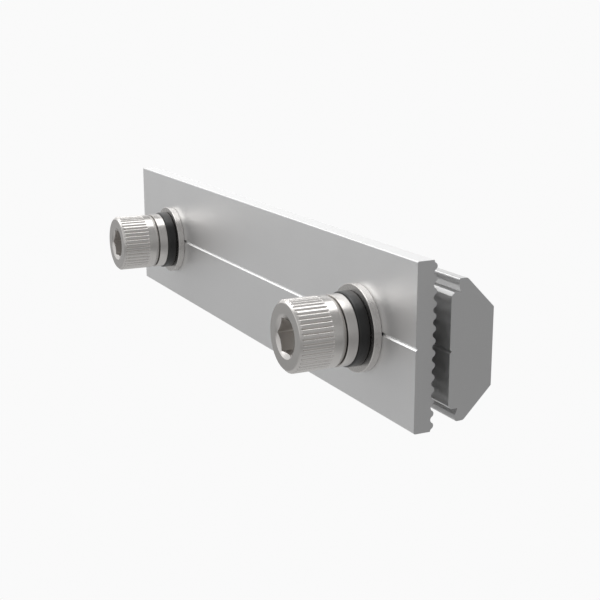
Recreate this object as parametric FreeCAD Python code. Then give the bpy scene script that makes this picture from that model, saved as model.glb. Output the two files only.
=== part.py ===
import FreeCAD, Part
import math
import os

# Clamp-type connector that joins two mounting rails end to end.
# A toothed outer plate lies on the outside of the rails, and a T-shaped inner bar sits in
# their slot. Two M8 cap screws pass through the plate and thread into the bar.
#
# Millimetres. X runs along the rails, Z is up and Y points from the screw heads into the rail.
# The origin is the middle of the plate, on the plane of its tooth tips.

Vector = FreeCAD.Vector

# Outer plate
plate_length = 136.5
plate_height = 29.4
plate_thickness = 3.75
plate_edge_radius = 0.25
tooth_count = 14
tooth_depth = 0.6
guide_width = 0.7
guide_depth = 0.35
slot_travel = 1.55

# Inner bar
bar_length = 136.5
bar_height = 24.55
bar_depth = 8.45
bar_back_height = 13.7
plateau_height = 20.0
plateau_chamfer = 0.6
plateau_step = 1.4
undercut_depth = 0.4
undercut_width = 1.15
lip_edge_radius = 0.4
lip_top_radius = 0.8
back_edge_radius = 0.3
bar_guide_width = 0.7
bar_guide_depth = 0.35
bore_chamfer = 0.5
clamp_gap = 1.85

# Cap screws, M8 with a straight-knurled head
screw_spacing = 95.6
screw_diameter = 8.0
screw_length = 20.0
screw_pitch = 1.25
head_diameter = 13.0
head_height = 8.75
head_front_bevel = 0.55
seat_diameter = 12.3
seat_taper_length = 0.65
collar_height = 2.1
flute_count = 44
flute_width = 0.4
flute_depth = 0.2
flute_runout = 0.5
hex_across_flats = 6.0
hex_depth = 4.5
hex_mouth_diameter = 7.9
hex_mouth_depth = 0.5

# Rings between each screw head and the plate
flat_washer_diameter = 16.0
flat_washer_thickness = 1.5
rubber_diameter = 13.6
rubber_thickness = 2.15
lock_diameter = 13.0
lock_thickness = 2.0
lock_rise = 0.15
lock_split_angle = 12.0
head_gap = 0.35

# Clearances around each screw, on the radius
thread_clearance = 0.05
slot_clearance = 0.75
slot_rest_clearance = 0.05
flat_washer_clearance = 0.2
rubber_clearance = 0.05
lock_clearance = 0.1

# The plate's slots let the screws shift along it, and the screws rest in them low down and at one end
slot_width = screw_diameter + 2.0 * slot_clearance
slot_length = slot_width + 2.0 * slot_travel
bar_x = slot_travel
bar_z = slot_rest_clearance - slot_clearance

# Stations along Y, from the plate outwards to the heads and inwards to the bar
plate_front = -plate_thickness
rubber_back = plate_front - flat_washer_thickness
lock_back = rubber_back - rubber_thickness
head_seat = lock_back - lock_thickness - head_gap
bar_front = clamp_gap
lip_front = bar_front + plateau_step
bar_back = bar_front + bar_depth

screw_places = {
    "left": Vector(bar_x - screw_spacing / 2.0, 0, bar_z),
    "right": Vector(bar_x + screw_spacing / 2.0, 0, bar_z),
}


def corner_arc(before, corner, after, radius):
    """Arc that rounds one corner of a polygon, and the points where it meets the two sides."""
    to_before = (before - corner).normalize()
    to_after = (after - corner).normalize()
    half_angle = to_before.getAngle(to_after) / 2.0
    reach = radius / math.tan(half_angle)
    start = corner + to_before * reach
    end = corner + to_after * reach
    bisector = (to_before + to_after).normalize()
    middle = corner + bisector * (radius / math.sin(half_angle) - radius)
    return start, Part.Arc(start, middle, end).toShape(), end


def profile_edges(corners, closed):
    """Lines through (point, radius) corners, with an arc wherever the radius isn't zero."""
    points = [point for point, radius in corners]
    count = len(points)
    entries, exits, arcs = [], [], []
    for i, (point, radius) in enumerate(corners):
        if radius > 0:
            start, arc, end = corner_arc(points[i - 1], point, points[(i + 1) % count], radius)
            entries.append(start)
            exits.append(end)
            arcs.append(arc)
        else:
            entries.append(point)
            exits.append(point)
            arcs.append(None)
    edges = []
    for i in range(count):
        if arcs[i] is not None:
            edges.append(arcs[i])
        if closed or i + 1 < count:
            edges.append(Part.LineSegment(exits[i], entries[(i + 1) % count]).toShape())
    return edges


def extrude_section(edges, length):
    """Solid bar along +X from the edges of a closed section."""
    section = Part.Face(Part.Wire(Part.sortEdges(edges)[0]))
    return section.extrude(Vector(length, 0, 0))


def revolve_about_y(corners):
    """Solid of revolution about the Y axis from (radius, y, corner radius) points."""
    points = [(Vector(r, y, 0), rounding) for r, y, rounding in corners]
    section = Part.Face(Part.Wire(profile_edges(points, closed=True)))
    return section.revolve(Vector(0, 0, 0), Vector(0, 1, 0), 360)


def drill(radius, y_start, y_end, place):
    """Cylinder along Y at a screw's place."""
    base = Vector(place.x, y_start, place.z)
    return Part.makeCylinder(radius, y_end - y_start, base, Vector(0, 1, 0))


def tooth_row(x):
    """Rolling teeth down the plate's back, as equal arcs that meet on their flanks."""
    pitch = plate_height / tooth_count
    radius = ((pitch / 4.0) ** 2 + (tooth_depth / 2.0) ** 2) / tooth_depth
    flank = -tooth_depth / 2.0
    root = -tooth_depth
    half_turn = math.asin(pitch / 4.0 / radius) / 2.0
    rise = radius * (1.0 - math.cos(half_turn))
    run = radius * math.sin(half_turn)
    low = -plate_height / 2.0
    high = plate_height / 2.0
    edges = [Part.Arc(Vector(x, root, low), Vector(x, root + rise, low + run),
                      Vector(x, flank, low + pitch / 4.0)).toShape()]
    for i in range(tooth_count):
        z = low + i * pitch
        edges.append(Part.Arc(Vector(x, flank, z + pitch / 4.0), Vector(x, 0, z + pitch / 2.0),
                              Vector(x, flank, z + 3.0 * pitch / 4.0)).toShape())
        if i + 1 < tooth_count:
            edges.append(Part.Arc(Vector(x, flank, z + 3.0 * pitch / 4.0), Vector(x, root, z + pitch),
                                  Vector(x, flank, z + 5.0 * pitch / 4.0)).toShape())
    edges.append(Part.Arc(Vector(x, flank, high - pitch / 4.0), Vector(x, root + rise, high - run),
                          Vector(x, root, high)).toShape())
    return edges


def slot_cutter(x):
    """Round-ended slot through the plate, long along X."""
    radius = slot_width / 2.0
    straight = slot_length - slot_width
    reach = plate_thickness + 2.0
    y = plate_front - 1.0
    ends = [Part.makeCylinder(radius, reach, Vector(x + side * straight / 2.0, y, 0), Vector(0, 1, 0))
            for side in (-1, 1)]
    middle = Part.makeBox(straight, reach, slot_width, Vector(x - straight / 2.0, y, -radius))
    return middle.fuse(ends)


def make_outer_plate():
    """Plate with a flat front, a guide line along its middle, teeth behind and two slots."""
    x = -plate_length / 2.0
    half = plate_height / 2.0
    front = [
        (Vector(x, -tooth_depth, half), 0),
        (Vector(x, plate_front, half), plate_edge_radius),
        (Vector(x, plate_front, guide_width / 2.0), 0),
        (Vector(x, plate_front + guide_depth, 0), 0),
        (Vector(x, plate_front, -guide_width / 2.0), 0),
        (Vector(x, plate_front, -half), plate_edge_radius),
        (Vector(x, -tooth_depth, -half), 0),
    ]
    plate = extrude_section(profile_edges(front, closed=False) + tooth_row(x), plate_length)
    slots = [slot_cutter(side * screw_spacing / 2.0) for side in (-1, 1)]
    return plate.cut(slots)


def bar_half_section(side):
    """Corners of the bar's section from its guide line to its back, above or below its middle."""
    plateau = plateau_height / 2.0
    top = bar_height / 2.0
    back = bar_back_height / 2.0
    lip_root = plateau + undercut_width
    slant_start = bar_back - (top - back)
    points = [
        (bar_front, bar_guide_width / 2.0, 0),
        (bar_front, plateau - plateau_chamfer, 0),
        (bar_front + plateau_chamfer, plateau, 0),
        (lip_front + undercut_depth, plateau, 0),
        (lip_front, lip_root, 0),
        (lip_front, top, lip_edge_radius),
        (slant_start, top, lip_top_radius),
        (bar_back, back, back_edge_radius),
    ]
    return [(y, bar_z + side * z, radius) for y, z, radius in points]


def make_inner_bar():
    """T-shaped bar with two threaded bores, its plateau facing the plate."""
    x = bar_x - bar_length / 2.0
    upper = bar_half_section(1)
    lower = bar_half_section(-1)
    notch = (bar_front + bar_guide_depth, bar_z, 0)
    outline = [notch] + upper + lower[::-1]
    corners = [(Vector(x, y, z), radius) for y, z, radius in outline]
    bar = extrude_section(profile_edges(corners, closed=True), bar_length)
    bore = screw_diameter / 2.0 + thread_clearance
    mouth = bore + bore_chamfer
    for place in screw_places.values():
        front = Vector(place.x, bar_front, place.z)
        back = Vector(place.x, bar_back, place.z)
        cutters = [
            drill(bore, bar_front - 1.0, bar_back + 1.0, place),
            Part.makeCone(mouth, bore, bore_chamfer, front, Vector(0, 1, 0)),
            Part.makeCone(mouth, bore, bore_chamfer, back, Vector(0, -1, 0)),
        ]
        bar = bar.cut(cutters)
    return bar


def flute_cutters(front):
    """V-shaped flutes around the head, each one sloping out of it above the collar."""
    head = head_diameter / 2.0
    end = -collar_height
    axis = Vector(0, 1, 0)
    overcut = flute_depth
    half_base = flute_width / 2.0 * (flute_depth + overcut) / flute_depth
    point = Vector(head - flute_depth, front, 0)
    base = [Vector(head + overcut, front, side * half_base) for side in (1, -1)]
    groove_end = end + flute_runout / 2.0
    groove = Part.Face(Part.makePolygon([point] + base + [point])).extrude(Vector(0, groove_end - front, 0))
    side = 2.0 * half_base
    slope_foot = Vector(head - 2.0 * flute_depth, end - 2.0 * flute_runout, -side)
    slope_top = Vector(head + flute_depth, end + flute_runout, -side)
    slope_back = Vector(slope_foot.x, slope_top.y, -side)
    slope = Part.Face(Part.makePolygon([slope_foot, slope_top, slope_back, slope_foot]))
    flute = groove.cut(slope.extrude(Vector(0, 0, 2.0 * side)))
    cutters = []
    for i in range(flute_count):
        cutter = flute.copy()
        cutter.rotate(Vector(0, 0, 0), axis, 360.0 * (i + 0.5) / flute_count)
        cutters.append(cutter)
    return cutters


def hex_socket(front):
    """Hexagon socket with a coned mouth."""
    radius = hex_across_flats / math.sqrt(3.0)
    corners = []
    for i in range(6):
        angle = math.radians(60.0 * i)
        corners.append(Vector(radius * math.cos(angle), front, radius * math.sin(angle)))
    outline = Part.Wire(Part.makePolygon(corners + corners[:1]).Edges)
    prism = Part.Face(outline).extrude(Vector(0, hex_depth, 0))
    mouth_floor = hex_across_flats / 2.0 - 0.1
    mouth = Part.makeCone(hex_mouth_diameter / 2.0, mouth_floor, hex_mouth_depth,
                          Vector(0, front, 0), Vector(0, 1, 0))
    return [prism, mouth]


def make_screw():
    """Cap screw along +Y, with the underside of its head at the origin."""
    head = head_diameter / 2.0
    shank = screw_diameter / 2.0
    tip_bevel = screw_pitch * 0.61
    blank = revolve_about_y([
        (0, -head_height, 0),
        (head - head_front_bevel, -head_height, 0),
        (head, -head_height + head_front_bevel, 0),
        (head, -seat_taper_length, 0),
        (seat_diameter / 2.0, 0, 0),
        (shank, 0, 0),
        (shank, screw_length - tip_bevel, 0),
        (shank - tip_bevel, screw_length, 0),
        (0, screw_length, 0),
    ])
    front = -head_height
    return blank.cut(flute_cutters(front) + hex_socket(front))


def make_ring(outer_diameter, clearance, thickness):
    """Flat ring along -Y from the origin, with a bore that clears the screw."""
    inner = screw_diameter / 2.0 + clearance
    outer = outer_diameter / 2.0
    return revolve_about_y([
        (inner, 0, 0),
        (outer, 0, 0),
        (outer, -thickness, 0),
        (inner, -thickness, 0),
    ])


def make_lock_washer():
    """Split spring washer: a square-edged coil of nearly one turn, rising towards its free end."""
    inner = screw_diameter / 2.0 + lock_clearance
    outer = lock_diameter / 2.0
    turn = (360.0 - lock_split_angle) / 360.0
    rise = lock_rise * turn
    path = Part.makeHelix(lock_rise, rise, (inner + outer) / 2.0)
    corners = [(inner, 0), (outer, 0), (outer, lock_thickness), (inner, lock_thickness), (inner, 0)]
    section = Part.makePolygon([Vector(r, 0, z) for r, z in corners])
    coil = Part.Wire(path.Edges).makePipeShell([section], True, True)
    # The coil is wound about Z: it is turned so that it rises towards the head and its split faces -X
    coil.rotate(Vector(0, 0, 0), Vector(0, 0, 1), 180.0 + lock_split_angle / 2.0)
    coil.rotate(Vector(0, 0, 0), Vector(1, 0, 0), 90)
    return coil


def placed(shape, place, y):
    """Copy of a shape moved along to a screw's place and station."""
    copy = shape.copy()
    copy.translate(Vector(place.x, y, place.z))
    return copy


def main():
    nodes = {
        "outer_plate": make_outer_plate(),
        "inner_bar": make_inner_bar(),
    }
    screw = make_screw()
    flat_washer = make_ring(flat_washer_diameter, flat_washer_clearance, flat_washer_thickness)
    rubber_ring = make_ring(rubber_diameter, rubber_clearance, rubber_thickness)
    lock_washer = make_lock_washer()
    for side, place in screw_places.items():
        nodes["screw_" + side] = placed(screw, place, head_seat)
        nodes["flat_washer_" + side] = placed(flat_washer, place, plate_front)
        nodes["rubber_ring_" + side] = placed(rubber_ring, place, rubber_back)
        nodes["lock_washer_" + side] = placed(lock_washer, place, lock_back)

    os.makedirs("parts", exist_ok=True)
    for name, shape in nodes.items():
        shape.exportStep("parts/" + name + ".step")
        box = shape.BoundBox
        print("%-20s valid %s solids %d volume %.1f x %.2f %.2f y %.2f %.2f z %.2f %.2f" % (
            name, shape.isValid(), len(shape.Solids), shape.Volume,
            box.XMin, box.XMax, box.YMin, box.YMax, box.ZMin, box.ZMax))


main()
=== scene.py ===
import bmesh
import bpy
import math
from mathutils import Matrix, Vector


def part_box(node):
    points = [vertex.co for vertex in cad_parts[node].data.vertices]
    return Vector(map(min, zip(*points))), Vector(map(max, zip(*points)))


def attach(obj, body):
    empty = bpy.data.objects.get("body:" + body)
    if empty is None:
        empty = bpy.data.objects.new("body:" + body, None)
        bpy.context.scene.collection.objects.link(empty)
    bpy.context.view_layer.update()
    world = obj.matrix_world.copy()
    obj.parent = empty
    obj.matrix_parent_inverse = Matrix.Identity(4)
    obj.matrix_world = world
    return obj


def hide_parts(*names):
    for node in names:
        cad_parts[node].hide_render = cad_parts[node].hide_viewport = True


# Clamp-type connector for two mounting rails: an outer plate with teeth behind, a T-shaped bar, and
# two M8 cap screws on flat washers, rubber rings and lock washers. The plate and the bar keep their
# own forms and get their finishes here. The screws and rings are made here, in millimetres along
# the Y axis with the screw's head towards -Y. They become metres when they go to their places.

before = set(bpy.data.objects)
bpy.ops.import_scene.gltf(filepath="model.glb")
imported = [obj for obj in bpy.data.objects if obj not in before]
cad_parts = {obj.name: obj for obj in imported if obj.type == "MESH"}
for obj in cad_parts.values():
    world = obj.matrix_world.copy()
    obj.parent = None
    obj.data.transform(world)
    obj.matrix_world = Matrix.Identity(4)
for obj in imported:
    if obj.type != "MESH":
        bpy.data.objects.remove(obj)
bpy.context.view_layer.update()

MM = 0.001
SIDES = ("left", "right")
FULL_TURN = 2.0 * math.pi

# Shaping, in millimetres
WELD = 1e-4
CUT_SNAP = 1e-5
LONG_RUN = 0.25
FLAT_MARGIN = 0.03
SHARP_EDGE = math.radians(40.0)

# Head of a cap screw, in millimetres from its underside
HEAD_RADIUS = 6.5
HEAD_HEIGHT = 8.75
HEAD_FRONT = -HEAD_HEIGHT
HEAD_FRONT_BEVEL = 0.55
BEVEL_SHARES = (0.55, 0.66, 0.77, 0.88, 1.0)
RIM_ROUNDING = 0.12
SEAT_RADIUS = 6.15
SEAT_TAPER = 0.65
SEAT_LAND = 0.15
SEAT_ROUNDING = 0.05
COLLAR = 2.35

# Flutes rolled into the head. Their half width is a share of their spacing.
FLUTES = 44
FLUTE_DEPTH = 0.26
FLUTE_HALF_WIDTH = 0.22
FLUTE_RUNOUT = 0.5
RUNOUT_SHARES = (1.0, 0.8, 0.6, 0.42, 0.26, 0.13, 0.05, 0.0)
STEPS_PER_FLUTE = 10

# Socket, turned as a round bore and then pressed to a hexagon. The points of the bore's floor
# have their radius, and how far past the socket's depth they lie.
BORE_RADIUS = 3.45
BORE_WALL = 0.05
BORE_MOUTH_DEPTH = 0.5
BORE_FLOOR = ((0.0, 0.45), (1.6, 0.2), (BORE_RADIUS, -0.1))
HEX_HALF_WIDTH = 3.0
HEX_CORNER_RADIUS = 3.42
HEX_DEPTH = 4.5
HEX_MOUTH_RADIUS = 3.95
HEX_MOUTH_SLOPE = 2.1
MOUTH_ROUNDING = 0.06

# Where the pressed and rolled steel starts and ends. It is rougher, and lighter than the rest of
# the screw as painted light in the socket and flutes.
BEHIND_SOCKET = -1.0
BEHIND_FACE = HEAD_FRONT + 1.0
BEHIND_MOUTH = HEAD_FRONT + 0.3
BELOW_RIM = HEAD_RADIUS - 0.03

# Shank and its thread
SHANK_LENGTH = 20.0
TIP_BEVEL = 0.76
PITCH = 1.25
THREAD_START = -0.4
THREAD_CREST = 3.97
THREAD_ROOT = 3.25
CREST_HALF_WIDTH = 0.078
ROOT_HALF_WIDTH = 0.114
THREAD_STEPS = 48

# Rings, in millimetres
WASHER_RADIUS = 8.0
WASHER_BORE = 4.2
WASHER_ROUNDING = 0.14
RUBBER_RADIUS = 6.8
RUBBER_BORE = 4.05
RUBBER_ROUNDING = 0.3
LOCK_RADIUS = 6.5
LOCK_BORE = 4.1
LOCK_THICKNESS = 2.0
LOCK_ROUNDING = 0.08
LOCK_RISE = 0.15
LOCK_SPLIT = math.radians(12.0)
RING_STEPS = 192

# Extruded aluminium, in metres, with the grain's scales along X, Y and Z
PLATE_MIDDLE = 0.0
BAR_MIDDLE = 0.00155
HALF_LENGTH = 0.06825
SAWN_REACH = 0.0001
# Darker grey of the sawn ends: painted shade on the end faces.
END_FACE_SHADE_GREY = 0.55
DRAWN_STREAKS = (6.0, 2600.0, 2600.0)
SAW_MARKS = (1.0, 500.0, 5200.0)

# Marks of forming on the stainless steel, as the grain's scales along X, Y and Z
COLD_FORMED = (900.0, 900.0, 900.0)
STAMPED = (700.0, 2500.0, 700.0)
WOUND = (700.0, 3500.0, 700.0)
STEEL_WARMTH = 0.03

# Studio, in metres. A lamp has its place, width, height and brightness.
CAMERA_PLACE = (0.22017, -0.09994, 0.05180)
CAMERA_DIRECTION = (-0.87122, 0.43043, -0.23600)
CAMERA_LENS = 68.32
CAMERA_SENSOR = 36.0
CAMERA_CLIP = (0.005, 60.0)
LAMPS = {
    "overhead_light": ((-0.17, 0.0, 1.087), 1.5, 0.76, 2.2),
    "left_light": ((-0.88, -0.55, 0.86), 1.1, 0.6, 1.7),
    "back_light": ((-1.3, 0.66, 0.34), 1.4, 0.45, 0.5),
}
BACKDROP_WHITE = 0.955
FLOOR_GREY = 0.45
FLOOR_LEVEL = -0.3
FLOOR_RADIUS = 9.0
FLOOR_SIDES = 96
FLOOR_SHARE = 0.04
WORLD_STRENGTH = 0.45
RIGHT_WALL = (0.85, 0.5, 0.0)


# ---------------------------------------------------------------- making shapes

def line_of_edges(shape, points, closed):
    """Edges through (radius, station) points, ready to be turned about the Y axis."""
    corners = [shape.verts.new((radius, station, 0.0)) for radius, station in points]
    ends = corners[1:] + corners[:1] if closed else corners[1:]
    for here, there in zip(corners, ends):
        shape.edges.new((here, there))
    return corners


def soften(shape, corners, radius, segments):
    """Rounds corners of a line of edges."""
    bmesh.ops.bevel(shape, geom=corners, offset=radius, offset_type="OFFSET", segments=segments,
                    profile=0.5, affect="VERTICES", material=-1)


def hold_flats(shape):
    """Splits each long run near its ends, so that it stays flat next to a rounded corner."""
    for run in [edge for edge in shape.edges if edge.calc_length() > LONG_RUN]:
        for end in run.verts[:]:
            made, corner = bmesh.utils.edge_split(run, end, FLAT_MARGIN / run.calc_length())
            if made.calc_length() > run.calc_length():
                run = made


def turn(shape, steps):
    """Turns the line of edges once around the Y axis and closes its seam and poles."""
    bmesh.ops.spin(shape, geom=shape.verts[:] + shape.edges[:], cent=(0, 0, 0), axis=(0, 1, 0),
                   angle=FULL_TURN, steps=steps, use_merge=True)
    bmesh.ops.remove_doubles(shape, verts=shape.verts, dist=WELD)
    bmesh.ops.recalc_face_normals(shape, faces=shape.faces)


def polar(vertex):
    """Angle about the Y axis and distance from it."""
    return math.atan2(vertex.co.z, vertex.co.x), math.hypot(vertex.co.x, vertex.co.z)


def set_radius(vertex, angle, radius):
    """Moves a vertex straight towards or away from the Y axis."""
    vertex.co.x = radius * math.cos(angle)
    vertex.co.z = radius * math.sin(angle)


def trim(shape, station, beyond):
    """Cuts the shape across its axis, takes off what lies beyond and closes the cut."""
    cut = bmesh.ops.bisect_plane(shape, geom=shape.verts[:] + shape.edges[:] + shape.faces[:],
                                 dist=CUT_SNAP, plane_co=(0, station, 0), plane_no=(0, beyond, 0),
                                 clear_outer=True)["geom_cut"]
    rim = [part for part in cut if isinstance(part, bmesh.types.BMEdge)]
    bmesh.ops.triangle_fill(shape, edges=rim, use_beauty=True, use_dissolve=False)


def mesh_of(shape, name):
    """A mesh of a shape, which is then let go."""
    mesh = bpy.data.meshes.new(name)
    shape.to_mesh(mesh)
    shape.free()
    return mesh


def join_into(shape, other):
    """Adds another shape's faces to this one."""
    mesh = mesh_of(other, "passing")
    shape.from_mesh(mesh)
    bpy.data.meshes.remove(mesh)


def into_scene(name, data):
    """An object of a mesh, lamp or camera, put into the scene."""
    made = bpy.data.objects.new(name, data)
    bpy.context.scene.collection.objects.link(made)
    return made


def finished(shape, name, place, node, body, finishes):
    """Makes a piece of a shape, at its place, riding on its body and standing for its node."""
    bmesh.ops.translate(shape, verts=shape.verts, vec=place)
    bmesh.ops.scale(shape, verts=shape.verts, vec=(MM, MM, MM))
    for face in shape.faces:
        face.smooth = True
    for edge in shape.edges:
        edge.smooth = len(edge.link_faces) == 2 and edge.calc_face_angle(0.0) < SHARP_EDGE
    mesh = mesh_of(shape, name)
    for finish in finishes:
        mesh.materials.append(finish)
    piece = into_scene(name, mesh)
    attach(piece, body)
    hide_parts(node)


def axis_place(node, station):
    """A node's middle across the screw's axis, at a station along it, in millimetres."""
    low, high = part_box(node)
    middle = (low + high) / 2.0 / MM
    return Vector((middle.x, station, middle.z))


# ---------------------------------------------------------------- cap screws

def hexagon_radius(angle):
    """Distance to the socket's wall, with its corners on the level and slightly rounded."""
    from_flat = angle % math.radians(60.0) - math.radians(30.0)
    return min(HEX_HALF_WIDTH / math.cos(from_flat), HEX_CORNER_RADIUS)


def flute_dip(angle, station):
    """How deep the knurl's V-shaped flutes go at a place on the head."""
    across = (angle / FULL_TURN * FLUTES + 0.5) % 1.0
    dip = FLUTE_DEPTH * max(0.0, 1.0 - abs(across - 0.5) / FLUTE_HALF_WIDTH)
    left = min(1.0, max(0.0, (-COLLAR - station) / FLUTE_RUNOUT))
    return min(dip, FLUTE_DEPTH * math.sqrt(1.0 - (1.0 - left) ** 2))


def turn_blank(shape):
    """Head as it comes from the lathe, with a round bore and no flutes yet."""
    corners = line_of_edges(shape, [
        *[(radius, HEAD_FRONT + HEX_DEPTH + past) for radius, past in BORE_FLOOR],
        (BORE_RADIUS, HEAD_FRONT + BORE_MOUTH_DEPTH),
        (HEX_MOUTH_RADIUS, HEAD_FRONT),
        (HEAD_RADIUS - HEAD_FRONT_BEVEL, HEAD_FRONT),
        *[(HEAD_RADIUS - HEAD_FRONT_BEVEL * (1.0 - share), HEAD_FRONT + HEAD_FRONT_BEVEL * share)
          for share in BEVEL_SHARES],
        *[(HEAD_RADIUS, -COLLAR - FLUTE_RUNOUT * share) for share in RUNOUT_SHARES],
        (HEAD_RADIUS, -SEAT_TAPER),
        (SEAT_RADIUS, SEAT_LAND),
        (0.0, SEAT_LAND),
    ], closed=False)
    mouth_edge, rim_edge = corners[4:6]
    soften(shape, [mouth_edge], MOUTH_ROUNDING, 2)
    soften(shape, [rim_edge], RIM_ROUNDING, 3)
    soften(shape, corners[-3:-1], SEAT_ROUNDING, 2)
    hold_flats(shape)
    turn(shape, FLUTES * STEPS_PER_FLUTE)


def press_socket(shape):
    """Presses the bore to a hexagon, whose flats meet the sloped mouth in curves."""
    for vertex in shape.verts:
        angle, radius = polar(vertex)
        station = vertex.co.y
        if abs(radius - BORE_RADIUS) < BORE_WALL and station < BEHIND_SOCKET:
            wall = hexagon_radius(angle) * radius / BORE_RADIUS
            set_radius(vertex, angle, wall)
            if station < BEHIND_FACE:
                depth = (HEX_MOUTH_RADIUS - wall) / HEX_MOUTH_SLOPE
                vertex.co.y += depth - BORE_MOUTH_DEPTH


def roll_flutes(shape):
    """Rolls the flutes into the rim, from the front bevel to the collar."""
    for vertex in shape.verts:
        angle, radius = polar(vertex)
        station = vertex.co.y
        if radius > HEAD_RADIUS - FLUTE_DEPTH and station < -COLLAR:
            set_radius(vertex, angle, min(radius, HEAD_RADIUS - flute_dip(angle, station)))


def mark_lightened_steel(shape):
    """Gives the socket's walls and floor and the flutes the screw's second finish: rougher, and in
    a lighter grey that is painted light against the shade in these hollows.
    """
    for face in shape.faces:
        middle = face.calc_center_median()
        radius = math.hypot(middle.x, middle.z)
        in_socket = radius < BORE_RADIUS + BORE_WALL and BEHIND_MOUTH < middle.y < BEHIND_SOCKET
        in_flute = radius < BELOW_RIM and BEHIND_FACE < middle.y < -COLLAR
        face.material_index = int(in_socket or in_flute)


def shape_shank():
    """Thread as one helical strip, cut square at both ends, and narrowed to a cone at the tip."""
    shape = bmesh.new()
    start = THREAD_START - PITCH
    flank = PITCH / 2.0 - CREST_HALF_WIDTH - ROOT_HALF_WIDTH
    line_of_edges(shape, [
        (THREAD_ROOT, start),
        (THREAD_ROOT, start + ROOT_HALF_WIDTH),
        (THREAD_CREST, start + ROOT_HALF_WIDTH + flank),
        (THREAD_CREST, start + ROOT_HALF_WIDTH + flank + 2.0 * CREST_HALF_WIDTH),
        (THREAD_ROOT, THREAD_START - ROOT_HALF_WIDTH),
        (THREAD_ROOT, THREAD_START),
    ], closed=False)
    turns = math.ceil((SHANK_LENGTH - THREAD_START) / PITCH) + 2
    bmesh.ops.spin(shape, geom=shape.verts[:] + shape.edges[:], cent=(0, 0, 0), axis=(0, 1, 0),
                   dvec=(0, PITCH / THREAD_STEPS, 0), angle=FULL_TURN * turns,
                   steps=THREAD_STEPS * turns)
    bmesh.ops.remove_doubles(shape, verts=shape.verts, dist=WELD)
    trim(shape, THREAD_START, -1)
    trim(shape, SHANK_LENGTH, 1)
    bmesh.ops.recalc_face_normals(shape, faces=shape.faces)
    for vertex in shape.verts:
        angle, radius = polar(vertex)
        cone = THREAD_CREST - (vertex.co.y - (SHANK_LENGTH - TIP_BEVEL))
        set_radius(vertex, angle, min(radius, cone))
    return shape


def shape_screw():
    """A whole screw, with the underside of its head at the origin."""
    shape = bmesh.new()
    turn_blank(shape)
    press_socket(shape)
    roll_flutes(shape)
    mark_lightened_steel(shape)
    join_into(shape, shape_shank())
    return shape


def place_screw(shape, side, finishes):
    """Puts a screw where its node is, by the front of its head."""
    node = "screw_" + side
    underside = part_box(node)[0].y / MM + HEAD_HEIGHT
    finished(shape, "knurled_" + node, axis_place(node, underside), node, node,
             finishes)


# ---------------------------------------------------------------- rings

def ring_section(shape, inner, outer, thickness, rounding, segments):
    """Section of a ring's wire or sheet, with rounded corners and flat sides."""
    corners = line_of_edges(shape, [(inner, 0), (outer, 0), (outer, thickness), (inner, thickness)],
                            closed=True)
    soften(shape, corners, rounding, segments)
    hold_flats(shape)


def make_ring(name, node, outer, inner, rounding, finish):
    """Ring with rounded edges, as thick as its node."""
    low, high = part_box(node)
    shape = bmesh.new()
    ring_section(shape, inner, outer, (high.y - low.y) / MM, rounding, 4)
    turn(shape, RING_STEPS)
    finished(shape, name, axis_place(node, low.y / MM), node, "rings", [finish])


def make_lock_washer(side, finish):
    """Split spring ring: a coil of nearly one turn that rises towards the head."""
    node = "lock_washer_" + side
    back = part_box(node)[1].y / MM
    share = 1.0 - LOCK_SPLIT / FULL_TURN
    shape = bmesh.new()
    ring_section(shape, LOCK_BORE, LOCK_RADIUS, -LOCK_THICKNESS, LOCK_ROUNDING, 3)
    bmesh.ops.rotate(shape, verts=shape.verts, cent=(0, 0, 0),
                     matrix=Matrix.Rotation(math.pi + LOCK_SPLIT / 2.0, 3, (0, -1, 0)))
    bmesh.ops.spin(shape, geom=shape.verts[:] + shape.edges[:], cent=(0, 0, 0), axis=(0, -1, 0),
                   dvec=(0, -LOCK_RISE * share / RING_STEPS, 0), angle=FULL_TURN * share,
                   steps=RING_STEPS)
    bmesh.ops.holes_fill(shape, edges=shape.edges, sides=0)
    bmesh.ops.recalc_face_normals(shape, faces=shape.faces)
    finished(shape, "spring_" + node, axis_place(node, back), node, "rings",
             [finish])


# ---------------------------------------------------------------- finishes

class Channel:
    """One value, colour or vector on its way between nodes."""

    def __init__(self, finish, socket):
        self.finish = finish
        self.socket = socket

    def maths(self, operation, first, second):
        return self.finish.node("ShaderNodeMath", {"operation": operation}, {0: first, 1: second})

    def __add__(self, other):
        return self.maths("ADD", self, other)

    __radd__ = __add__

    def __sub__(self, other):
        return self.maths("SUBTRACT", self, other)

    def __rsub__(self, other):
        return self.maths("SUBTRACT", other, self)

    def __mul__(self, other):
        return self.maths("MULTIPLY", self, other)

    __rmul__ = __mul__

    def __gt__(self, other):
        return self.maths("GREATER_THAN", self, other)

    def __abs__(self):
        return self.maths("ABSOLUTE", self, 0.0)


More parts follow.
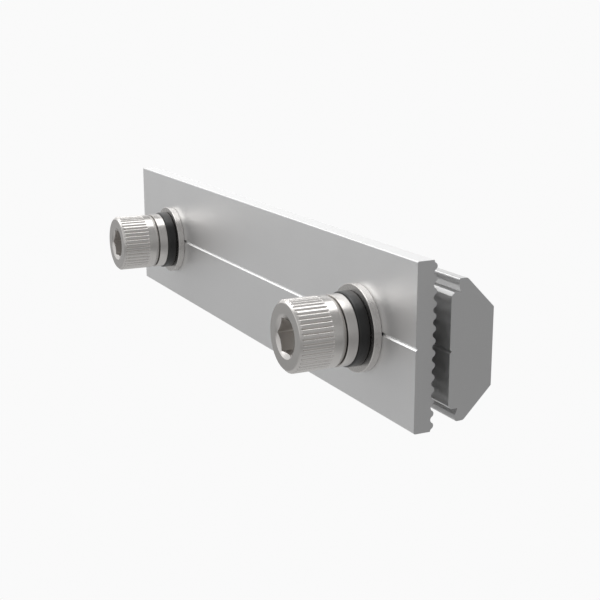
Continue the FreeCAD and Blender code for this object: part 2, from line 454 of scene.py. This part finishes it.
class Finish:
    """The nodes of one material, or of the world."""

    def __init__(self, tree):
        self.tree = tree
        tree.nodes.clear()

    def node(self, kind, settings, inputs, output=0):
        """A node with its settings, then its sockets' values or links, and one of its outputs."""
        made = self.tree.nodes.new(kind)
        for key, value in settings.items():
            setattr(made, key, value)
        for key, value in inputs.items():
            if isinstance(value, Channel):
                self.tree.links.new(value.socket, made.inputs[key])
            else:
                made.inputs[key].default_value = value
        return Channel(self, made.outputs[output]) if made.outputs else None

    def place(self):
        return self.node("ShaderNodeTexCoord", {}, {}, "Object")

    def part(self, vector, index):
        return self.node("ShaderNodeSeparateXYZ", {}, {0: vector}, index)

    def stretched(self, vector, factors):
        return self.node("ShaderNodeVectorMath", {"operation": "MULTIPLY"}, {0: vector, 1: factors})

    def grain(self, vector, scale=1.0, detail=3.0):
        return self.node("ShaderNodeTexNoise", {},
                         {"Vector": vector, "Scale": scale, "Detail": detail})

    def slope(self, value, start, end, before, after):
        """One level before the start, another after the end, and a straight slope between."""
        return self.node("ShaderNodeMapRange", {},
                         {0: value, 1: start, 2: end, 3: before, 4: after})

    def between(self, share, dark, light):
        return self.node("ShaderNodeMix", {"data_type": "RGBA"}, {0: share, 6: dark, 7: light}, 2)

    def bumped(self, height, distance):
        return self.node("ShaderNodeBump", {},
                         {"Height": height, "Distance": distance, "Strength": 1.0})

    def surface(self, inputs):
        shader = self.node("ShaderNodeBsdfPrincipled", {}, inputs)
        self.node("ShaderNodeOutputMaterial", {}, {"Surface": shader})


def new_finish(name):
    material = bpy.data.materials.new(name)
    material.use_nodes = True
    return material, Finish(material.node_tree)


def grey(level, warmth=0.0):
    return (level * (1.0 + warmth), level, level * (1.0 - warmth), 1.0)


def satin_aluminium(name, level, middle):
    """Extruded aluminium: faint streaks along its length, and sawn ends with coarser marks,
    rougher, and in a darker grey that is painted shade on the end faces.
    """
    material, finish = new_finish(name)
    place = finish.place()
    streaks = finish.grain(finish.stretched(place, DRAWN_STREAKS))
    cloud = finish.grain(place, 60.0, 2.0)
    saw_marks = finish.grain(finish.stretched(place, SAW_MARKS))
    sawn = abs(finish.part(place, 0) - middle) > HALF_LENGTH - SAWN_REACH
    drawn_grey = finish.between(cloud, grey(level), grey(level + 0.03))
    height = streaks + sawn * (saw_marks * 2.0 - streaks)
    finish.surface({
        # Sawn ends take the darker grey, which is painted shade on the end faces; their saw marks
        # and roughness are real.
        "Base Color": finish.between(sawn, drawn_grey, grey(END_FACE_SHADE_GREY)),
        "Metallic": 1.0,
        "Roughness": 0.36 + 0.06 * streaks + 0.04 * cloud + 0.05 * sawn,
        "Normal": finish.bumped(height, 0.000006),
    })
    return material


def bright_stainless(name, level, roughness, forming):
    """Formed stainless steel, slightly warm, with the fine marks of its forming."""
    material, finish = new_finish(name)
    place = finish.place()
    marks = finish.grain(finish.stretched(place, forming))
    cloud = finish.grain(place, 400.0, 3.0)
    finish.surface({
        "Base Color": finish.between(cloud, grey(level * 0.98, STEEL_WARMTH),
                                     grey(level * 1.02, STEEL_WARMTH)),
        "Metallic": 1.0,
        "Roughness": roughness - 0.02 + 0.04 * marks,
        "Normal": finish.bumped(marks, 0.0000003),
    })
    return material


def black_rubber(name):
    """Matt moulded rubber with a fine skin."""
    material, finish = new_finish(name)
    place = finish.place()
    skin = finish.grain(place, 9000.0, 2.0)
    cloud = finish.grain(place, 300.0, 3.0)
    finish.surface({
        "Base Color": finish.between(cloud, grey(0.002), grey(0.004)),
        "Roughness": 0.26 + 0.06 * cloud,
        "Specular IOR Level": 0.6,
        "Normal": finish.bumped(skin, 0.00002),
    })
    return material


# ---------------------------------------------------------------- studio

def look(eye, direction):
    return Matrix.Translation(eye) @ Vector(direction).to_track_quat("-Z", "Y").to_matrix().to_4x4()


def make_camera():
    """Camera at the angle and distance of the photograph."""
    data = bpy.data.cameras.new("camera")
    data.lens = CAMERA_LENS
    data.sensor_width = CAMERA_SENSOR
    data.clip_start, data.clip_end = CAMERA_CLIP
    camera = into_scene("camera", data)
    camera.matrix_world = look(CAMERA_PLACE, CAMERA_DIRECTION)
    bpy.context.scene.camera = camera


def make_lamp(name, place, width, height, brightness):
    """Soft rectangular light that faces the connector."""
    data = bpy.data.lights.new(name, "AREA")
    data.shape = "RECTANGLE"
    data.size = width
    data.size_y = height
    data.energy = brightness * math.pi * width * height
    lamp = into_scene(name, data)
    lamp.matrix_world = look(place, -Vector(place))


def seen_by_camera(finish, plain, share_in_metal):
    """White where the camera looks, the plain look elsewhere, and a share of white in metal."""
    rays = ("ShaderNodeLightPath", {}, {})
    camera = finish.node(*rays, "Is Camera Ray")
    glossy = finish.node(*rays, "Is Glossy Ray")
    through = finish.node(*rays, "Is Transmission Ray")
    white = finish.node("ShaderNodeEmission", {}, {"Color": grey(BACKDROP_WHITE), "Strength": 1.0})
    factor = camera + through + share_in_metal * glossy
    return finish.node("ShaderNodeMixShader", {}, {0: factor, 1: plain, 2: white})


def make_floor():
    """Plain pale floor. In metal it shows a painted reflection: whiter right under the connector
    and far out than between.
    """
    shape = bmesh.new()
    bmesh.ops.create_circle(shape, cap_ends=True, segments=FLOOR_SIDES, radius=FLOOR_RADIUS)
    bmesh.ops.translate(shape, verts=shape.verts, vec=(0, 0, FLOOR_LEVEL))
    mesh = mesh_of(shape, "floor")
    material, finish = new_finish("pale_floor")
    plain = finish.node("ShaderNodeBsdfDiffuse", {}, {"Color": grey(FLOOR_GREY)})
    reach = finish.node("ShaderNodeVectorMath", {"operation": "LENGTH"},
                        {0: finish.place()}, "Value")
    # Painted reflection: metal sees the floor glow whiter right under the connector and far out.
    under = finish.slope(reach, 0.35, 0.8, 0.4, 0.0)
    beyond = finish.slope(reach, 0.9, 1.5, 0.0, 0.28)
    finish.node("ShaderNodeOutputMaterial", {},
                {"Surface": seen_by_camera(finish, plain, FLOOR_SHARE + under + beyond)})
    mesh.materials.append(material)
    into_scene("floor", mesh)


def make_world():
    """Even white light. Metal sees white walls, dimmer on the right, under a dimmer ceiling."""
    world = bpy.data.worlds.new("studio")
    world.use_nodes = True
    bpy.context.scene.world = world
    finish = Finish(world.node_tree)
    plain = finish.node("ShaderNodeBackground", {},
                        {"Color": grey(1.0), "Strength": WORLD_STRENGTH})
    towards = finish.node("ShaderNodeTexCoord", {}, {}, "Generated")
    rightwards = finish.node("ShaderNodeVectorMath", {"operation": "DOT_PRODUCT"},
                             {0: towards, 1: RIGHT_WALL}, "Value")
    walls = finish.slope(rightwards, -0.6, 0.0, 1.0, 0.22)
    ceiling = finish.slope(finish.part(towards, 2), 0.48, 0.62, 1.0, 0.15)
    finish.node("ShaderNodeOutputWorld", {},
                {"Surface": seen_by_camera(finish, plain, walls * ceiling)})


# ---------------------------------------------------------------- the connector

make_camera()
make_floor()
make_world()
for name, lamp in LAMPS.items():
    make_lamp(name, *lamp)

plate_finish = satin_aluminium("plate_satin_aluminium", 0.79, PLATE_MIDDLE)
# The bar's aluminium is the plate's in a darker grey: painted shade on the bar, which lies behind
# the plate.
shaded_bar_finish = satin_aluminium("bar_satin_aluminium_painted_shade", 0.63, BAR_MIDDLE)
screw_finish = bright_stainless("screw_cold_formed_steel", 0.57, 0.25, COLD_FORMED)
# Second steel of the screw, rougher and lighter: its lighter grey is painted light that lifts the
# shade in the socket and flutes.
lightened_worked_finish = bright_stainless("screw_rolled_steel_painted_light", 0.72, 0.36, COLD_FORMED)
washer_finish = bright_stainless("washer_stamped_steel", 0.58, 0.27, STAMPED)
spring_finish = bright_stainless("spring_wound_steel", 0.58, 0.25, WOUND)
rubber_finish = black_rubber("moulded_rubber")

for node, finish in (("outer_plate", plate_finish), ("inner_bar", shaded_bar_finish)):
    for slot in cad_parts[node].material_slots:
        slot.material = finish

screw = shape_screw()
for side in SIDES:
    place_screw(screw.copy(), side, [screw_finish, lightened_worked_finish])
    make_ring("stamped_washer_" + side, "flat_washer_" + side, WASHER_RADIUS, WASHER_BORE,
              WASHER_ROUNDING, washer_finish)
    make_ring("moulded_ring_" + side, "rubber_ring_" + side, RUBBER_RADIUS, RUBBER_BORE,
              RUBBER_ROUNDING, rubber_finish)
    make_lock_washer(side, spring_finish)
screw.free()

bpy.context.scene.view_settings.view_transform = "Standard"
